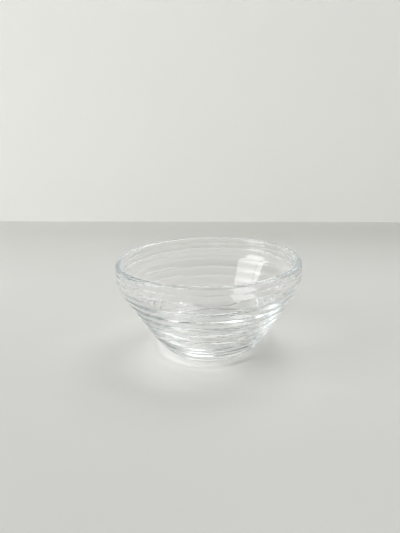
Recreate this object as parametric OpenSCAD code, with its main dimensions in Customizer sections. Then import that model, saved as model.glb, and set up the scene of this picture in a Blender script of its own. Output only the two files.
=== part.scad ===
// Small round prep bowl of clear pressed glass.
// One piece: a low foot, a conical wall stepped with rounded rings outside, a steep
// collar with two shallow grooves and a rounded rim bead. The inside is smooth.
// Z points up, the bowl stands on z = 0 and turns about the Z axis.

/* [Bowl] */
// Widest diameter, across the rim bead
rim_diameter = 90; // [80:0.5:110]
// Height from the table to the top of the rim
bowl_height = 44; // [40:0.5:60]
// Diameter of the foot at its widest, just above the table
foot_diameter = 46.4; // [40:0.2:56]
// Thickness of the conical wall, measured square to it in a valley between two rings
wall = 3; // [2.4:0.1:4]
// Thickness of the floor over the foot
floor_t = 4; // [3:0.1:6]

/* [Foot] */
// Height of the plain foot band below the lowest ring
foot_height = 5; // [4:0.1:6.5]
// How much farther out the top of the foot band stands than its bottom
foot_flare = 3.4; // [2.6:0.1:4.2]
// Rise of the foot band's rounded side over its chord
foot_rise = 0.3; // [0.15:0.05:0.5]
// Radius of the edge that the bowl stands beside
foot_edge = 0.8; // [0.5:0.1:1.2]
// Width of the flat ring that touches the table
foot_land = 3.2; // [2:0.1:5]
// Depth of the hollow under the floor
recess_depth = 0.8; // [0.4:0.1:1.4]
// Width of the sloping side of that hollow
recess_slope = 1.2; // [0.6:0.1:2]

/* [Rings] */
// Height that one ring takes, fitted so that whole rings fill the cone
ring_pitch = 4.5; // [3.6:0.1:6]
// Rise of a ring over the line through the valleys
ring_rise = 0.5; // [0.3:0.05:0.6]
// Share of a ring's slope that lies below its crown, where it is flatter. The collar's bands share it
ring_crown_share = 0.65; // [0.58:0.01:0.72]

/* [Collar] */
// Height of the whole collar, from the highest valley of the cone to the top
collar_height = 12; // [10.5:0.1:13.5]
// How far the cone's highest valley lies inside the widest line of the rim
shoulder_inset = 1.2; // [1:0.1:2]
// Height from the lower groove to the top of the rim
lower_groove_drop = 6.7; // [6:0.1:7.6]
// Height from the upper groove, under the bead, to the top of the rim
upper_groove_drop = 3.6; // [3.3:0.1:4.4]
// How far the lower groove lies inside the widest line of the rim
lower_groove_inset = 0.45; // [0.4:0.05:0.7]
// How far the fainter upper groove lies inside that line
upper_groove_inset = 0.25; // [0.25:0.05:0.5]
// Rise of the shoulder between the cone and the lower groove
shoulder_rise = 0.5; // [0.3:0.05:0.6]
// Rise of the narrow band between the two grooves
band_rise = 0.25; // [0.1:0.05:0.3]
// Thickness of the rim, which is also the width of its rounded top
rim_t = 3; // [2.4:0.1:4]

/* [Inside] */
// Radius between the floor and the conical wall
floor_fillet = 9; // [5:0.5:12]
// Radius where the conical wall turns up into the collar
bend_radius = 9; // [4:0.5:14]
// Slope of the collar's inner wall, in degrees from upright
draft = 2; // [1:0.5:4]

/* [Hidden] */
$fn = 144;
// How far the rounded bands reach into the core and past each other's ends
lap = 0.4;
// How far the cuts run past the faces that they open
overrun = 1;
// How far an arc reaches past the line or arc that it runs into, so that the two cross
seam = 0.004;

rim_r = rim_diameter / 2;
foot_r = foot_diameter / 2;
// The rim's rounded top is a half circle that stands on this height
bead_z = bowl_height - rim_t / 2;
cone_bottom = [foot_r + foot_flare, foot_height];
cone_top = [rim_r - shoulder_inset, bowl_height - collar_height];
lower_groove = [rim_r - lower_groove_inset, bowl_height - lower_groove_drop];
upper_groove = [rim_r - upper_groove_inset, bowl_height - upper_groove_drop];

// The cone leans out by this angle from upright, and this is its outward normal
lean = atan2(cone_top.x - cone_bottom.x, cone_top.y - cone_bottom.y);
cone_normal = [cos(lean), -sin(lean)];
ring_count = round((cone_top.y - cone_bottom.y) / ring_pitch);
valleys = [for (i = [0 : ring_count]) cone_bottom + (cone_top - cone_bottom) * i / ring_count];

// Point where the foot's rounded edge runs into the foot band
foot_centre = [foot_r - foot_edge, foot_edge];
foot_band_start = foot_centre + foot_edge * cone_normal;

// Inner lines, each as its distance from the axis along its own normal
cone_inside = cone_bottom * cone_normal - wall;
draft_normal = [cos(draft), -sin(draft)];
collar_inside = [rim_r - rim_t, bead_z] * draft_normal;

floor_centre = [
    (cone_inside - floor_fillet + (floor_t + floor_fillet) * sin(lean)) / cos(lean),
    floor_t + floor_fillet
];
bend_centre = [
    (collar_inside - bend_radius) * sin(lean) - (cone_inside - bend_radius) * sin(draft),
    (collar_inside - bend_radius) * cos(lean) - (cone_inside - bend_radius) * cos(draft)
] / sin(lean - draft);

// Radius of an arc over a chord, from the chord's length and the arc's rise
function arc_radius(chord, rise) = chord * chord / (8 * rise) + rise / 2;

// The foot's rounded side, an arc from point a up to point b that stands
// out by rise in the middle and reaches into the core behind it
module even_band(a, b, rise) {
    chord = norm(b - a);
    radius = arc_radius(chord, rise);
    translate(a)
        rotate(atan2(b.y - a.y, b.x - a.x))
        intersection() {
            translate([chord / 2, radius - rise])
                circle(radius);
            translate([-lap, -rise - lap])
                square([chord + 2 * lap, rise + 3 * lap]);
        }
}

// A ring of the cone or a band of the collar, from the valley a up to the valley b:
// a long arc up to the crown and a short, steep one above it, which meet at the crown
module stepped_band(a, b, rise) {
    chord = norm(b - a);
    crown = chord * ring_crown_share;
    lower_radius = arc_radius(2 * crown, rise);
    upper_radius = arc_radius(2 * (chord - crown), rise);
    translate(a)
        rotate(atan2(b.y - a.y, b.x - a.x)) {
            intersection() {
                translate([crown, lower_radius - rise])
                    circle(lower_radius);
                translate([-lap, -rise - lap])
                    square([crown + lap, rise + 3 * lap]);
            }
            intersection() {
                translate([crown, upper_radius - rise])
                    circle(upper_radius + seam);
                translate([crown - 2 * lap, -rise - lap])
                    square([chord - crown + 3 * lap, rise + 3 * lap]);
            }
        }
}

// The bead's lower side, an arc that leaves the upper groove and is upright at bead_z
module bead_side() {
    drop = bead_z - upper_groove.y;
    radius = arc_radius(2 * drop, upper_groove_inset);
    intersection() {
        translate([rim_r - radius, bead_z])
            circle(radius);
        translate([rim_r - rim_t / 2, upper_groove.y - lap])
            square([rim_t, drop + lap]);
    }
}

// Solid shape of the outside up to bead_z, a little inside the bands
module core_profile() {
    cone_shift = lap * cone_normal;
    side_shift = [lap, 0];
    polygon([
        [0, 0],
        [foot_centre.x, 0],
        foot_band_start - cone_shift,
        cone_bottom - cone_shift,
        cone_top - side_shift,
        lower_groove - side_shift,
        upper_groove - side_shift,
        [rim_r - rim_t / 2, bead_z],
        [0, bead_z]
    ]);
}

module outside_profile() {
    core_profile();
    translate(foot_centre)
        circle(foot_edge);
    even_band(foot_band_start, cone_bottom, foot_rise);
    for (i = [0 : ring_count - 1])
        stepped_band(valleys[i], valleys[i + 1], ring_rise);
    stepped_band(cone_top, lower_groove, shoulder_rise);
    stepped_band(lower_groove, upper_groove, band_rise);
    bead_side();
}

// The hollow of the bowl, with rounded corners at the floor and at the bend
module inside_profile() {
    polygon([
        [0, floor_t],
        [floor_centre.x, floor_t],
        floor_centre + floor_fillet * cone_normal,
        bend_centre + bend_radius * cone_normal,
        bend_centre + bend_radius * draft_normal,
        [rim_r - rim_t, bead_z],
        [rim_r - rim_t, bead_z + overrun],
        [0, bead_z + overrun]
    ]);
    translate(floor_centre)
        circle(floor_fillet + seam);
    translate(bend_centre)
        circle(bend_radius + seam);
}

// The shallow hollow under the floor, which leaves a flat ring to stand on
module recess_profile() {
    edge = foot_centre.x - foot_land;
    polygon([
        [0, -overrun],
        [edge, -overrun],
        [edge, 0],
        [edge - recess_slope, recess_depth],
        [0, recess_depth]
    ]);
}

module bowl_profile() {
    difference() {
        outside_profile();
        inside_profile();
        recess_profile();
    }
    translate([rim_r - rim_t / 2, bead_z])
        circle(rim_t / 2);
}

module bowl() {
    color("lightcyan", 0.5)
        rotate_extrude()
        bowl_profile();
}

bowl();
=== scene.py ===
import bpy
from math import asin, atan2, ceil, cos, hypot, pi, radians, sin, tan
from mathutils import Matrix, Vector


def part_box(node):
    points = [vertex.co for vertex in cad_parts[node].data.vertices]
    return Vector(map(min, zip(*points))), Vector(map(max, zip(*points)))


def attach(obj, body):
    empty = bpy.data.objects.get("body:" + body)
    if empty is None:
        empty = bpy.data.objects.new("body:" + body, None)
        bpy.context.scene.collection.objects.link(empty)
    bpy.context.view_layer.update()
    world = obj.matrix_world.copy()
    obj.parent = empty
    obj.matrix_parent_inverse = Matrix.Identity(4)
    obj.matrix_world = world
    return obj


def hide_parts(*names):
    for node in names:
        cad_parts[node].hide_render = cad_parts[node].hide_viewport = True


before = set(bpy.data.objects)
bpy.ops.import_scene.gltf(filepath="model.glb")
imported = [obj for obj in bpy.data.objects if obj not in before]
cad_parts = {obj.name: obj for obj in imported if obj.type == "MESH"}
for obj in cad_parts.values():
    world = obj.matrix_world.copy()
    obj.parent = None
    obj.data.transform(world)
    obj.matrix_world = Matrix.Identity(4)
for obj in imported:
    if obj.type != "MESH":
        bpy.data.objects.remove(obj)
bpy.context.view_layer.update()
MM = 0.001

# The bowl's widest radius and its height come from the frame
rim_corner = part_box("bowl")[1]
RIM_R = rim_corner.x / MM
HEIGHT = rim_corner.z / MM

# Thickness of the conical wall and of the floor
WALL = 3.0
FLOOR = 4.0

# The foot: its radius and height, how far its side flares and bulges, its rounded edge, the flat
# ring that it stands on, and the hollow under the floor with its sloping side
FOOT_R = 23.2
FOOT_HEIGHT = 5.0
FOOT_FLARE = 3.4
FOOT_RISE = 0.3
FOOT_EDGE = 0.8
FOOT_LAND = 3.2
RECESS_DEPTH = 0.8
RECESS_SLOPE = 1.2

# The rings of the cone. The crown share is how much of a ring's slope lies below its crown
RING_PITCH = 4.5
RING_RISE = 0.5
CROWN_SHARE = 0.65

# The collar, up to the rim: drops are measured from the top of the rim, and insets from its
# widest line
COLLAR_HEIGHT = 12.0
SHOULDER_INSET = 1.2
LOWER_GROOVE_DROP = 6.7
UPPER_GROOVE_DROP = 3.6
LOWER_GROOVE_INSET = 0.45
UPPER_GROOVE_INSET = 0.25
SHOULDER_RISE = 0.5
BAND_RISE = 0.25
RIM_T = 3.0

# The inside: its two rounded corners, and the collar's slope from upright
FLOOR_FILLET = 9.0
BEND_RADIUS = 9.0
DRAFT = radians(2)

# Points of the outline that its parts share, as (radius, height)
CONE_BOTTOM = (FOOT_R + FOOT_FLARE, FOOT_HEIGHT)
CONE_TOP = (RIM_R - SHOULDER_INSET, HEIGHT - COLLAR_HEIGHT)
LOWER_GROOVE = (RIM_R - LOWER_GROOVE_INSET, HEIGHT - LOWER_GROOVE_DROP)
UPPER_GROOVE = (RIM_R - UPPER_GROOVE_INSET, HEIGHT - UPPER_GROOVE_DROP)
RING_COUNT = round((CONE_TOP[1] - CONE_BOTTOM[1]) / RING_PITCH)
LEAN = atan2(CONE_TOP[0] - CONE_BOTTOM[0], CONE_TOP[1] - CONE_BOTTOM[1])
BEAD_Z = HEIGHT - RIM_T / 2

# Fineness of the mesh: steps round the axis and along each side of a band, the length of a step
# on arcs and the fewest that an arc has, the length of a step on straight lines, and the gap that
# is closed where two parts of the outline meet and at the axis
AROUND_STEPS = 216
BAND_STEPS = 11
ARC_STEP = 0.35
FEWEST_ARC_STEPS = 4
LINE_STEP = 1.0
MERGE_GAP = 0.01

# Pressed glass is never quite even: the height and the length of its soft waves
WAVE_HEIGHT = 0.025
WAVE_LENGTH = 11.0

# The glass's orange peel: how wide and how deep its dimples are
PEEL_SIZE = 2.5
PEEL_DEPTH = 0.01
PEEL_STRENGTH = 0.1

# Its haze: the width of a patch, its roughness, and the noise values at which it starts and is full
HAZE_SIZE = 14.0
HAZE_ROUGHNESS = 0.003
HAZE_START = 0.45
HAZE_FULL = 0.8

# The camera, found by fitting the rim, the foot and the outline to the photograph. Its angles are
# in radians. The frame is upright, so the sensor's long side is its height
CAMERA_BACK = 244.2
CAMERA_UP = 112.25
CAMERA_PITCH = 0.289
CAMERA_YAW = -0.0173
CAMERA_ROLL = -0.0292
SENSOR_LONG_SIDE = 36.0
LENS = 35.12
NEAR_CLIP = 10.0

# The wall stands this far behind the bowl's axis, and comes nearer by this share of the way to
# the right. It is a low one, with the room beyond it
WALL_BACK = 300.0
WALL_TURN_SHARE = 0.14
WALL_HALF = 1500.0
WALL_TOP = 240.0

# The table is a hair below the bowl's foot, so that the two never share a face
TABLE_GAP = 0.06
TABLE_HALF = 3000.0

# Paint: how far its roughness swings either way, the noise values between which it does so, and
# how strongly its grain shows as relief
GLOSS_SWING = 0.05
GRAIN_LOW = 0.3
GRAIN_HIGH = 0.7
RELIEF_STRENGTH = 0.5

# The room is paler low down: its brightness at some heights, in degrees above the table
ROOM_SHADES = ((0, 0.82), (17, 0.72), (25, 0.22), (33, 0.11), (64, 0.11), (90, 0.16))

# The window panes stand this far from the bowl
PANE_DISTANCE = 2600.0

# How often light may bounce, through the glass and between dull surfaces
GLASS_BOUNCES = 48
DULL_BOUNCES = 12


def linear(hex_colour):
    """An sRGB hex colour as the linear colour that a shader takes."""
    channels = [int(hex_colour[i:i + 2], 16) / 255 for i in (1, 3, 5)]
    return [c / 12.92 if c <= 0.04045 else ((c + 0.055) / 1.055) ** 2.4 for c in channels] + [1.0]


def add(tree, kind, settings=None, **links):
    """Adds a node with its settings, and sets or links its inputs: by name, with underscores
    for spaces, or by number after an i."""
    node = tree.nodes.new(kind)
    for name, value in (settings or {}).items():
        setattr(node, name, value)
    for name, value in links.items():
        numbered = name[0] == "i" and name[1:].isdigit()
        socket = node.inputs[int(name[1:]) if numbered else name.replace("_", " ")]
        if isinstance(value, bpy.types.NodeSocket):
            tree.links.new(value, socket)
        else:
            socket.default_value = value
    return node


def line(a, b):
    """Points of a straight part of the outline, from a to b, as (radius, height)."""
    across, up = b[0] - a[0], b[1] - a[1]
    count = max(1, ceil(hypot(across, up) / LINE_STEP))
    return [(a[0] + across * i / count, a[1] + up * i / count) for i in range(count + 1)]


def arc(centre, radius, start, end):
    """Points of an arc about a centre, from one angle to another."""
    count = max(FEWEST_ARC_STEPS, ceil(abs(end - start) * radius / ARC_STEP))
    angles = [start + (end - start) * i / count for i in range(count + 1)]
    return [(centre[0] + radius * cos(a), centre[1] + radius * sin(a)) for a in angles]


def even_band(a, b, rise):
    """Points of the foot's rounded side from a up to b, which stands out by rise in its middle."""
    chord = hypot(b[0] - a[0], b[1] - a[1])
    radius = chord * chord / (8 * rise) + rise / 2
    along = ((b[0] - a[0]) / chord, (b[1] - a[1]) / chord)
    out = (along[1], -along[0])
    centre = [(a[i] + b[i]) / 2 - out[i] * (radius - rise) for i in (0, 1)]
    facing = atan2(out[1], out[0])
    half = asin(chord / 2 / radius)
    return arc(centre, radius, facing - half, facing + half)


def foot_outline():
    """The outline from the axis under the floor, round the foot and up to the lowest ring."""
    edge_centre = (FOOT_R - FOOT_EDGE, FOOT_EDGE)
    land_inside = edge_centre[0] - FOOT_LAND
    points = line((0, RECESS_DEPTH), (land_inside - RECESS_SLOPE, RECESS_DEPTH))
    points += line(points[-1], (land_inside, 0))[1:]
    points += line(points[-1], (edge_centre[0], 0))[1:]
    points += arc(edge_centre, FOOT_EDGE, -pi / 2, -LEAN)[1:]
    return points + even_band(points[-1], CONE_BOTTOM, FOOT_RISE)[1:]


def bead_and_inside_outline():
    """The outline from the upper groove, over the rim and down the inside to the axis."""
    drop = BEAD_Z - UPPER_GROOVE[1]
    bead_radius = (drop * drop + UPPER_GROOVE_INSET ** 2) / (2 * UPPER_GROOVE_INSET)
    points = arc((RIM_R - bead_radius, BEAD_Z), bead_radius, -asin(drop / bead_radius), 0)
    points += arc((RIM_R - RIM_T / 2, BEAD_Z), RIM_T / 2, 0, pi)[1:]

    # The bend's centre lies on a line along the cone and on one along the collar's inner wall.
    # Each line is given as its distance from the origin
    cone_gap = CONE_BOTTOM[0] * cos(LEAN) - CONE_BOTTOM[1] * sin(LEAN) - WALL - BEND_RADIUS
    collar_gap = (RIM_R - RIM_T) * cos(DRAFT) - BEAD_Z * sin(DRAFT) - BEND_RADIUS
    turn = sin(LEAN - DRAFT)
    bend_centre = (
        (collar_gap * sin(LEAN) - cone_gap * sin(DRAFT)) / turn,
        (collar_gap * cos(LEAN) - cone_gap * cos(DRAFT)) / turn,
    )
    floor_z = FLOOR + FLOOR_FILLET
    corner_gap = cone_gap + BEND_RADIUS - FLOOR_FILLET
    floor_centre = ((corner_gap + floor_z * sin(LEAN)) / cos(LEAN), floor_z)
    bend = arc(bend_centre, BEND_RADIUS, -DRAFT, -LEAN)
    corner = arc(floor_centre, FLOOR_FILLET, -LEAN, -pi / 2)
    points += line(points[-1], bend[0])[1:] + bend[1:]
    points += line(points[-1], corner[0])[1:] + corner[1:]
    return points + line(points[-1], (0, FLOOR))[1:]


def outline_object():
    """The outline without its rings and collar bands, as loose edges in the plane of X and Z."""
    points, edges = [], []
    for part in (foot_outline(), bead_and_inside_outline()):
        first = len(points)
        points += [(r * MM, 0, z * MM) for r, z in part]
        edges += [(i, i + 1) for i in range(first, len(points) - 1)]
    mesh = bpy.data.meshes.new("bowl_outline")
    mesh.from_pydata(points, edges, [])
    piece = bpy.data.objects.new("pressed_glass_bowl", mesh)
    bpy.context.scene.collection.objects.link(piece)
    return piece


def new_tree(name, inputs, output):
    """An empty Geometry Nodes tree with its named inputs, and the sockets that they arrive on."""
    tree = bpy.data.node_groups.new(name, "GeometryNodeTree")
    for label, kind in inputs:
        tree.interface.new_socket(label, in_out="INPUT", socket_type="NodeSocket" + kind)
    tree.interface.new_socket(output, in_out="OUTPUT", socket_type="NodeSocketGeometry")
    return tree, add(tree, "NodeGroupInput").outputs


def stepped_band_tree():
    """A band of the outside, from one valley up to the next: a long flat side up to its crown
    and a short steep side above it."""
    tree, given = new_tree("stepped_band", (
        ("Start", "Vector"), ("End", "Vector"), ("Rise", "Float"), ("Crown Share", "Float"),
        ("Steps", "Int"),
    ), "Band")
    span = add(
        tree, "ShaderNodeVectorMath", {"operation": "SUBTRACT"}, i0=given["End"], i1=given["Start"],
    )
    outward = add(
        tree, "ShaderNodeVectorMath", {"operation": "CROSS_PRODUCT"},
        i0=(0, 1, 0), i1=span.outputs[0],
    )
    outward = add(
        tree, "ShaderNodeVectorMath", {"operation": "NORMALIZE"}, i0=outward.outputs[0],
    )
    rise = add(
        tree, "ShaderNodeVectorMath", {"operation": "SCALE"},
        i0=outward.outputs[0], Scale=given["Rise"],
    )
    reach = add(
        tree, "ShaderNodeVectorMath", {"operation": "SCALE"},
        i0=span.outputs[0], Scale=given["Crown Share"],
    )
    below = add(
        tree, "ShaderNodeVectorMath", {"operation": "ADD"}, i0=given["Start"], i1=reach.outputs[0],
    )
    crown = add(
        tree, "ShaderNodeVectorMath", {"operation": "ADD"}, i0=below.outputs[0], i1=rise.outputs[0],
    )
    sides = add(tree, "GeometryNodeJoinGeometry")
    for start, end in ((given["Start"], crown.outputs[0]), (crown.outputs[0], given["End"])):
        # At the crown a side runs level with the slope, so its knee is half a rise above its middle
        middle = add(tree, "ShaderNodeVectorMath", {"operation": "ADD"}, i0=start, i1=end)
        middle = add(
            tree, "ShaderNodeVectorMath", {"operation": "ADD"},
            i0=middle.outputs[0], i1=rise.outputs[0],
        )
        knee = add(
            tree, "ShaderNodeVectorMath", {"operation": "SCALE"}, i0=middle.outputs[0], Scale=0.5,
        )
        side = add(
            tree, "GeometryNodeCurveQuadraticBezier",
            Resolution=given["Steps"], Start=start, Middle=knee.outputs[0], End=end,
        )
        tree.links.new(side.outputs[0], sides.inputs[0])
    add(tree, "NodeGroupOutput", Band=sides.outputs[0])
    return tree


def ringed_bowl_tree(glass):
    """Adds the rings and the collar bands to the outline, and turns it round the axis."""
    tree, given = new_tree("ringed_bowl", (
        ("Outline", "Geometry"), ("First Valley", "Vector"), ("Last Valley", "Vector"),
        ("Lower Groove", "Vector"), ("Upper Groove", "Vector"), ("Ring Count", "Int"),
        ("Ring Rise", "Float"), ("Shoulder Rise", "Float"), ("Band Rise", "Float"),
        ("Crown Share", "Float"), ("Band Steps", "Int"), ("Around Steps", "Int"),
        ("Merge Gap", "Float"), ("Wave Height", "Float"), ("Waves per Metre", "Float"),
    ), "Bowl")
    stepped_band = stepped_band_tree()

    # One ring is drawn from the origin along one step of the cone, and stands on every valley
    span = add(
        tree, "ShaderNodeVectorMath", {"operation": "SUBTRACT"},
        i0=given["Last Valley"], i1=given["First Valley"],
    )
    share = add(tree, "ShaderNodeMath", {"operation": "DIVIDE"}, i0=1.0, i1=given["Ring Count"])
    step = add(
        tree, "ShaderNodeVectorMath", {"operation": "SCALE"},
        i0=span.outputs[0], Scale=share.outputs[0],
    )
    ring = add(
        tree, "GeometryNodeGroup", {"node_tree": stepped_band},
        Start=(0, 0, 0), End=step.outputs[0], Rise=given["Ring Rise"],
        Crown_Share=given["Crown Share"], Steps=given["Band Steps"],
    )
    valleys = add(
        tree, "GeometryNodeMeshLine", {"mode": "OFFSET"},
        Count=given["Ring Count"], Start_Location=given["First Valley"], Offset=step.outputs[0],
    )
    rings = add(
        tree, "GeometryNodeInstanceOnPoints", Points=valleys.outputs[0], Instance=ring.outputs[0],
    )
    rings = add(tree, "GeometryNodeRealizeInstances", Geometry=rings.outputs[0])
    plain = add(tree, "GeometryNodeMeshToCurve", Mesh=given["Outline"])
    whole = add(tree, "GeometryNodeJoinGeometry")
    tree.links.new(plain.outputs[0], whole.inputs[0])
    tree.links.new(rings.outputs[0], whole.inputs[0])
    for start, end, rise in (
        ("Last Valley", "Lower Groove", "Shoulder Rise"),
        ("Lower Groove", "Upper Groove", "Band Rise"),
    ):
        collar_band = add(
            tree, "GeometryNodeGroup", {"node_tree": stepped_band},
            Start=given[start], End=given[end], Rise=given[rise],
            Crown_Share=given["Crown Share"], Steps=given["Band Steps"],
        )
        tree.links.new(collar_band.outputs[0], whole.inputs[0])

    # The outline goes round the axis: each point keeps its radius and height
    place = add(tree, "GeometryNodeInputPosition").outputs[0]
    profile = add(tree, "GeometryNodeCaptureAttribute")
    profile.capture_items.new("VECTOR", "Place")
    tree.links.new(whole.outputs[0], profile.inputs["Geometry"])
    tree.links.new(place, profile.inputs["Place"])
    circle = add(
        tree, "GeometryNodeCurvePrimitiveCircle", Resolution=given["Around Steps"], Radius=1.0,
    )
    path = add(tree, "GeometryNodeCaptureAttribute")
    path.capture_items.new("VECTOR", "Place")
    tree.links.new(circle.outputs["Curve"], path.inputs["Geometry"])
    tree.links.new(place, path.inputs["Place"])
    shell = add(
        tree, "GeometryNodeCurveToMesh",
        Curve=path.outputs["Geometry"], Profile_Curve=profile.outputs["Geometry"],
    )
    flat = add(tree, "ShaderNodeSeparateXYZ", Vector=profile.outputs["Place"])
    level = add(tree, "ShaderNodeCombineXYZ", Z=flat.outputs["Z"])
    spread = add(
        tree, "ShaderNodeVectorMath", {"operation": "SCALE"},
        i0=path.outputs["Place"], Scale=flat.outputs["X"],
    )
    lathe = add(
        tree, "ShaderNodeVectorMath", {"operation": "ADD"},
        i0=spread.outputs[0], i1=level.outputs[0],
    )
    shell = add(
        tree, "GeometryNodeSetPosition", Geometry=shell.outputs[0], Position=lathe.outputs[0],
    )
    shell = add(
        tree, "GeometryNodeMergeByDistance",
        Geometry=shell.outputs[0], Distance=given["Merge Gap"],
    )
    shell = add(tree, "GeometryNodeFlipFaces", Mesh=shell.outputs[0])

    # The soft waves of pressed glass move the surface in and out
    noise = add(tree, "ShaderNodeTexNoise", Scale=given["Waves per Metre"], Detail=1.0)
    centred = add(tree, "ShaderNodeMath", {"operation": "SUBTRACT"}, i0=noise.outputs[0], i1=0.5)
    depth = add(
        tree, "ShaderNodeMath", {"operation": "MULTIPLY"},
        i0=centred.outputs[0], i1=given["Wave Height"],
    )
    normal = add(tree, "GeometryNodeInputNormal")
    push = add(
        tree, "ShaderNodeVectorMath", {"operation": "SCALE"},
        i0=normal.outputs[0], Scale=depth.outputs[0],
    )
    shell = add(
        tree, "GeometryNodeSetPosition", Geometry=shell.outputs[0], Offset=push.outputs[0],
    )
    shell = add(tree, "GeometryNodeSetShadeSmooth", Geometry=shell.outputs[0])
    shell = add(tree, "GeometryNodeRealizeInstances", Geometry=shell.outputs[0])
    shell = add(tree, "GeometryNodeSetMaterial", Geometry=shell.outputs[0], Material=glass)
    add(tree, "NodeGroupOutput", Bowl=shell.outputs[0])
    return tree


def pressed_glass():
    """Soda-lime glass, pressed in a polished mould and fire-polished: clear and bright, with a
    faint orange peel, a breath of haze, and a trace of green-blue where the eye looks along the
    wall."""
    material = bpy.data.materials.new("pressed_soda_lime_glass")
    material.use_nodes = True
    tree = material.node_tree
    tree.nodes.clear()
    place = add(tree, "ShaderNodeTexCoord").outputs["Object"]

    # Haze lies in patches, and between them the glass is clear
    haze = add(
        tree, "ShaderNodeTexNoise", Vector=place, Scale=1 / (HAZE_SIZE * MM), Detail=2.0,
    )
    haze = add(
        tree, "ShaderNodeMapRange",
        i0=haze.outputs[0], i1=HAZE_START, i2=HAZE_FULL, i3=0.0, i4=HAZE_ROUGHNESS,
    )
    peel = add(
        tree, "ShaderNodeTexNoise", Vector=place, Scale=1 / (PEEL_SIZE * MM), Detail=0.0,
    )
    peel = add(
        tree, "ShaderNodeBump",
        Strength=PEEL_STRENGTH, Distance=PEEL_DEPTH * MM, Height=peel.outputs[0],
    )
    skin = add(
        tree, "ShaderNodeBsdfPrincipled",
        Base_Color=linear("#FFFFFF"), Roughness=haze.outputs[0], IOR=1.52,
        Transmission_Weight=1.0, Normal=peel.outputs[0],
    )
    body = add(tree, "ShaderNodeVolumeAbsorption", Color=linear("#D8F3F6"), Density=2.5)
    add(tree, "ShaderNodeOutputMaterial", Surface=skin.outputs[0], Volume=body.outputs[0])
    return material


def glass_bowl():
    """The bowl as one plain mesh, made by the tree from the outline."""
    glass = pressed_glass()
    piece = outline_object()
    modifier = piece.modifiers.new("ringed_bowl", "NODES")
    modifier.node_group = ringed_bowl_tree(glass)
    inputs = {
        "Ring Count": RING_COUNT,
        "Ring Rise": RING_RISE * MM,
        "Shoulder Rise": SHOULDER_RISE * MM,
        "Band Rise": BAND_RISE * MM,
        "Crown Share": CROWN_SHARE,
        "Band Steps": BAND_STEPS,
        "Around Steps": AROUND_STEPS,
        "Merge Gap": MERGE_GAP * MM,
        "Wave Height": WAVE_HEIGHT * MM,
        "Waves per Metre": 1 / (WAVE_LENGTH * MM),
    }
    for name, point in (
        ("First Valley", CONE_BOTTOM), ("Last Valley", CONE_TOP),
        ("Lower Groove", LOWER_GROOVE), ("Upper Groove", UPPER_GROOVE),
    ):
        inputs[name] = (point[0] * MM, 0, point[1] * MM)
    for socket in modifier.node_group.interface.items_tree:
        if socket.name in inputs:
            modifier[socket.identifier] = inputs[socket.name]
    graph = bpy.context.evaluated_depsgraph_get()
    mesh = bpy.data.meshes.new_from_object(piece.evaluated_get(graph))
    piece.modifiers.clear()
    piece.data = mesh
    return piece


def painted(name, colours, roughness, specular, grain_size, grain_depth, patch_size):
    """A painted sheet: its colour drifts softly between two tones, over a fine grain."""
    material = bpy.data.materials.new(name)
    material.use_nodes = True
    tree = material.node_tree
    tree.nodes.clear()
    place = add(tree, "ShaderNodeTexCoord").outputs["Object"]
    patches = add(
        tree, "ShaderNodeTexNoise", Vector=place, Scale=1 / (patch_size * MM), Detail=2.0,
    )
    colour = add(
        tree, "ShaderNodeMix", {"data_type": "RGBA"},
        i0=patches.outputs[0], i6=linear(colours[0]), i7=linear(colours[1]),
    )
    grain = add(
        tree, "ShaderNodeTexNoise", Vector=place, Scale=1 / (grain_size * MM), Detail=3.0,
    )
    shine = add(
        tree, "ShaderNodeMapRange",
        i0=grain.outputs[0], i1=GRAIN_LOW, i2=GRAIN_HIGH,
        i3=roughness - GLOSS_SWING, i4=roughness + GLOSS_SWING,
    )
    relief = add(
        tree, "ShaderNodeBump",
        Strength=RELIEF_STRENGTH, Distance=grain_depth * MM, Height=grain.outputs[0],
    )
    skin = add(
        tree, "ShaderNodeBsdfPrincipled", Base_Color=colour.outputs[2], Roughness=shine.outputs[0],
        Specular_IOR_Level=specular, Normal=relief.outputs[0],
    )
    add(tree, "ShaderNodeOutputMaterial", Surface=skin.outputs[0])
    return material


def stage_sheet(name, corners, material):
    """One flat sheet of the stage, which isn't part of the bowl."""
    mesh = bpy.data.meshes.new(name)
    mesh.from_pydata([[c * MM for c in corner] for corner in corners], [], [(0, 1, 2, 3)])
    mesh.materials.append(material)
    sheet = bpy.data.objects.new(name, mesh)
    bpy.context.scene.collection.objects.link(sheet)


def stage():
    """The table, which runs on under the wall, and the wall that stands on it."""
    # Satin lacquer, sprayed on board: nearly smooth, so it only mottles the light a little
    lacquer = painted(
        "satin_lacquered_board", ("#EAEAE6", "#EEEEEA"), roughness=0.48, specular=0.2,
        grain_size=1.2, grain_depth=0.01, patch_size=60.0,
    )
    # Matt emulsion, rolled on plaster: a fine stipple
    emulsion = painted(
        "matt_painted_plaster", ("#F9F9F5", "#FCFCF8"), roughness=0.8, specular=0.3,
        grain_size=2.5, grain_depth=0.05, patch_size=120.0,
    )
    half, low = TABLE_HALF, -TABLE_GAP
    table = ((-half, -half, low), (half, -half, low), (half, half, low), (-half, half, low))
    stage_sheet("table", table, lacquer)
    left = (-WALL_HALF, WALL_BACK + WALL_HALF * WALL_TURN_SHARE)
    right = (WALL_HALF, WALL_BACK - WALL_HALF * WALL_TURN_SHARE)
    wall = ((*left, low), (*right, low), (*right, WALL_TOP), (*left, WALL_TOP))
    stage_sheet("wall", wall, emulsion)


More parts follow.
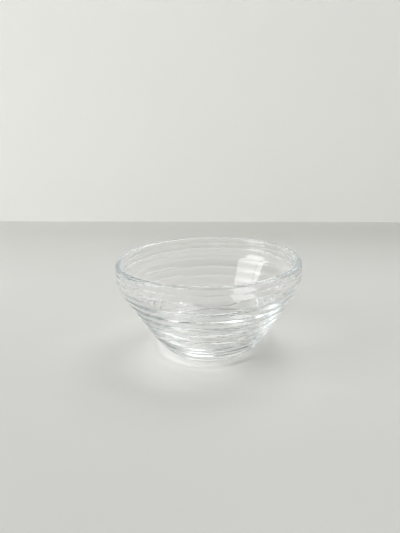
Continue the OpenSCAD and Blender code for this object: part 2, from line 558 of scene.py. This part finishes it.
def pane(name, bearing, height, width, tall, brightness):
    """A bright pane that faces the bowl. Its place and size are the angles, in degrees, at which
    the bowl sees it: its bearing turns right from the camera's side, its height up from the
    table."""
    bearing, height = radians(bearing), radians(height)
    towards = Vector((sin(bearing) * cos(height), -cos(bearing) * cos(height), sin(height)))
    distance = PANE_DISTANCE * MM
    light = bpy.data.lights.new(name, "AREA")
    light.shape = "RECTANGLE"
    light.size = 2 * distance * tan(radians(width / 2))
    light.size_y = 2 * distance * tan(radians(tall / 2))
    light.energy = brightness * pi * light.size * light.size_y
    sheet = bpy.data.objects.new(name, light)
    sheet.location = towards * distance
    sheet.rotation_euler = towards.to_track_quat("Z", "Y").to_euler()
    bpy.context.scene.collection.objects.link(sheet)


def daylight():
    """A tall window in two panes on the left, a small window high up behind on the right, and a
    room that is paler low down."""
    world = bpy.data.worlds.new("pale_room")
    bpy.context.scene.world = world
    world.use_nodes = True
    tree = world.node_tree
    tree.nodes.clear()
    towards = add(tree, "ShaderNodeTexCoord")
    height = add(tree, "ShaderNodeSeparateXYZ", Vector=towards.outputs["Generated"])
    shade = add(tree, "ShaderNodeValToRGB", i0=height.outputs["Z"])
    stops = shade.color_ramp.elements
    stops.remove(stops[1])
    for angle, brightness in ROOM_SHADES:
        stop = stops.new(sin(radians(angle))) if angle else stops[0]
        stop.color = (brightness, brightness, brightness, 1)
    room = add(tree, "ShaderNodeBackground", Color=shade.outputs[0])
    add(tree, "ShaderNodeOutputWorld", Surface=room.outputs[0])
    pane("wide_window_pane", bearing=-71, height=26, width=26, tall=48, brightness=3.9)
    pane("narrow_window_pane", bearing=-92.5, height=30, width=7, tall=30, brightness=4.9)
    pane("high_window_behind", bearing=150, height=58, width=30, tall=30, brightness=4.0)


def camera():
    """The photograph's view, which is turned, tilted down and rolled a little."""
    level = Vector((cos(CAMERA_YAW), -sin(CAMERA_YAW), 0))
    forwards = Vector((sin(CAMERA_YAW), cos(CAMERA_YAW), 0))
    ahead = forwards * cos(CAMERA_PITCH) - Vector((0, 0, sin(CAMERA_PITCH)))
    upright = level.cross(ahead)
    right = level * cos(CAMERA_ROLL) + upright * sin(CAMERA_ROLL)
    up = upright * cos(CAMERA_ROLL) - level * sin(CAMERA_ROLL)
    lens = bpy.data.cameras.new("camera")
    lens.sensor_width = SENSOR_LONG_SIDE
    lens.lens = LENS
    lens.clip_start = NEAR_CLIP * MM
    eye = bpy.data.objects.new("camera", lens)
    bpy.context.scene.collection.objects.link(eye)
    pose = Matrix((right, up, -ahead)).transposed().to_4x4()
    pose.translation = (0, -CAMERA_BACK * MM, CAMERA_UP * MM)
    eye.matrix_world = pose
    bpy.context.scene.camera = eye


def light_paths():
    """Clear glass needs its whole path: light is neither blurred nor clamped on the way through."""
    cycles = bpy.context.scene.cycles
    cycles.max_bounces = GLASS_BOUNCES
    cycles.transmission_bounces = GLASS_BOUNCES
    cycles.glossy_bounces = GLASS_BOUNCES
    cycles.diffuse_bounces = DULL_BOUNCES
    cycles.blur_glossy = 0
    cycles.sample_clamp_indirect = 0
    cycles.use_denoising = True
    bpy.context.scene.view_settings.view_transform = "Standard"


bowl = glass_bowl()
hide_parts("bowl")
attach(bowl, "root")
stage()
daylight()
camera()
light_paths()
